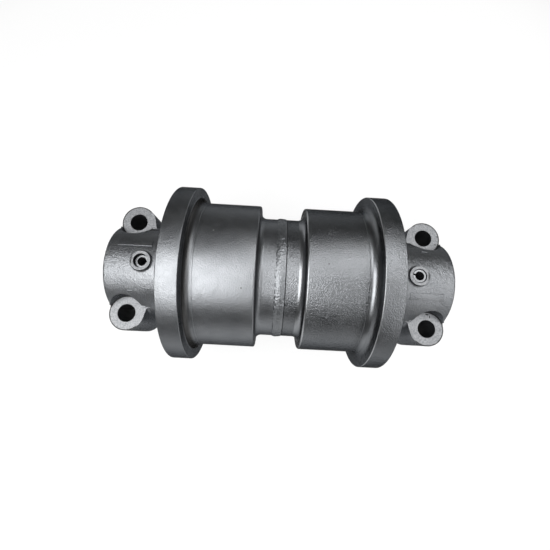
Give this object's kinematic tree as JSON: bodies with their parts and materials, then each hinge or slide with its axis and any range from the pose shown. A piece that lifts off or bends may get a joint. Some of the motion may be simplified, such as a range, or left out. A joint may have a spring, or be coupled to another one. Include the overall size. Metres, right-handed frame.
{
  "type": "track bottom roller",
  "caption": "Double-flanged roller shell on a fixed shaft, with a bolted cast collar at each end, that carries a crawler track under its frame.",
  "frame": {"origin": "on the roller's axis, midway between the outer ends of the two collars", "axes": "+X along the roller's axis towards the right collar, -Z the way the collars' mounting faces look, +Z the way the faces under the bolt heads look, +Y across the roller"},
  "size_m": [0.45, 0.24, 0.24],
  "materials": {
    "shell_paint": "satin dark grey paint over turned steel",
    "weld_paint": "satin dark grey paint over a rippled weld",
    "collar_paint": "satin dark grey paint over a sand casting, paler on the machined faces",
    "pin_steel": "painted over with the roller",
    "shaft_steel": "ground",
    "plug_steel": "phosphated",
    "bronze": "bored",
    "seal_iron": "lapped",
    "rubber": "matt"
  },
  "bodies": {
    "frame_side": {"axle_shaft": "shaft_steel", "oil_plug": "plug_steel", "left_collar": "collar_paint", "left_lock_pin": "pin_steel", "left_fixed_seal_ring": "seal_iron", "left_fixed_toric": "rubber", "left_shaft_oring": "rubber", "right_collar": "collar_paint", "right_lock_pin": "pin_steel", "right_fixed_seal_ring": "seal_iron", "right_fixed_toric": "rubber", "right_shaft_oring": "rubber"},
    "roller": {"centre_weld": "weld_paint", "roller_shell_left": "shell_paint", "left_bushing": "bronze", "left_rotating_seal_ring": "seal_iron", "left_rotating_toric": "rubber", "roller_shell_right": "shell_paint", "right_bushing": "bronze", "right_rotating_seal_ring": "seal_iron", "right_rotating_toric": "rubber"}
  },
  "joints": [
    {"name": "roller_spin", "type": "hinge", "parent": "frame_side", "child": "roller", "pos_m": [0, 0, 0], "axis": [1, 0, 0], "continuous": true}
  ]
}
